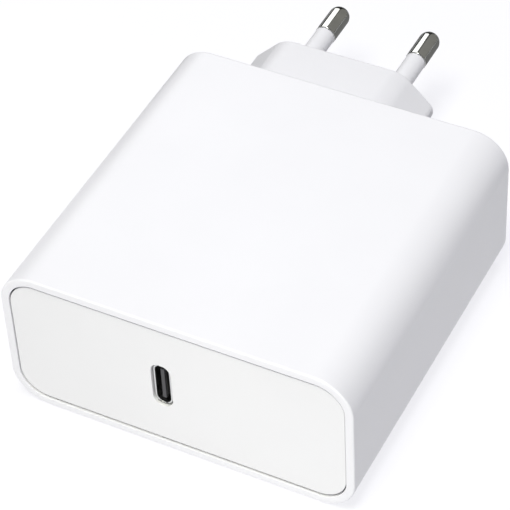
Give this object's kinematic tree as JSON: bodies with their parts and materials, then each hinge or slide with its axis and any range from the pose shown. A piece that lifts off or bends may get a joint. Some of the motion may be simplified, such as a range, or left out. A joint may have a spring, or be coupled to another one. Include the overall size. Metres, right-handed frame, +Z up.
{
  "type": "laptop power adapter",
  "caption": "White wall-plug power adapter: a block with rounded long edges, an upright port in its recessed front panel and a fixed round-pin plug at the back.",
  "frame": {"origin": "middle of the whole outline, pins included, on the surface that the case rests on", "axes": "+Z up, +Y from the port to the pins' tips, +X to the right when the port faces the viewer"},
  "size_m": [0.0628, 0.0982, 0.029],
  "materials": {
    "case_white": "fine satin moulded polycarbonate",
    "panel_white": "fine matt moulded polycarbonate",
    "sleeve_white": "smooth moulded nylon",
    "nickel": "polished nickel plate on brass",
    "contact_bronze": "rolled spring bronze",
    "port_steel": "nickel-plated drawn steel",
    "port_black": "moulded liquid-crystal polymer",
    "board_green": "solder-masked glass epoxy board",
    "chip_black": "moulded epoxy",
    "fuse_ceramic": "ceramic tube with metal caps",
    "disc_blue": "dipped epoxy",
    "disc_dark": "dipped phenolic",
    "film_yellow": "moulded polypropylene box",
    "core_green": "epoxy-coated ferrite",
    "ferrite": "pressed and fired ferrite",
    "copper": "enamelled copper wire",
    "can_sleeve": "shrunk PVC sleeve on an aluminium can",
    "can_aluminium": "drawn aluminium can",
    "aluminium": "pressed aluminium sheet",
    "tape_yellow": "polyester tape",
    "film_amber": "polyester insulation film",
    "pad_grey": "filled silicone gap pad"
  },
  "bodies": {
    "root": {"housing_shell": "case_white", "front_panel": "panel_white", "plug_body": "case_white", "pin_live": "nickel", "pin_neutral": "nickel", "pin_sleeve_live": "sleeve_white", "pin_sleeve_neutral": "sleeve_white", "contact_strip_live": "contact_bronze", "contact_strip_neutral": "contact_bronze", "usb_c_shell": "port_steel", "usb_c_insulator": "port_black", "port_board": "board_green", "pd_controller": "chip_black", "vbus_switch": "chip_black", "main_board": "board_green", "fuse": "fuse_ceramic", "varistor": "disc_blue", "thermistor": "disc_dark", "x_capacitor": "film_yellow", "choke_core": "core_green", "choke_winding_left": "copper", "choke_winding_right": "copper", "bridge_rectifier": "chip_black", "filter_inductor_core": "ferrite", "filter_inductor_winding": "copper", "bulk_capacitor": "can_sleeve", "auxiliary_capacitor": "can_sleeve", "gan_switch": "chip_black", "primary_heatsink": "aluminium", "primary_controller": "chip_black", "transformer_core_lower": "ferrite", "transformer_core_upper": "ferrite", "transformer_bobbin": "port_black", "transformer_winding": "tape_yellow", "transformer_tape": "tape_yellow", "sync_rectifier": "chip_black", "secondary_heatsink": "aluminium", "output_capacitor_left": "can_aluminium", "output_capacitor_right": "can_aluminium", "output_choke_core": "ferrite", "output_choke_winding": "copper", "optocoupler": "chip_black", "y_capacitor": "disc_blue", "isolation_barrier": "film_amber", "heat_spreader_top": "aluminium", "insulation_film_top": "film_amber", "heat_spreader_bottom": "aluminium", "insulation_film_bottom": "film_amber", "thermal_pad_transformer": "pad_grey"}
  },
  "joints": []
}
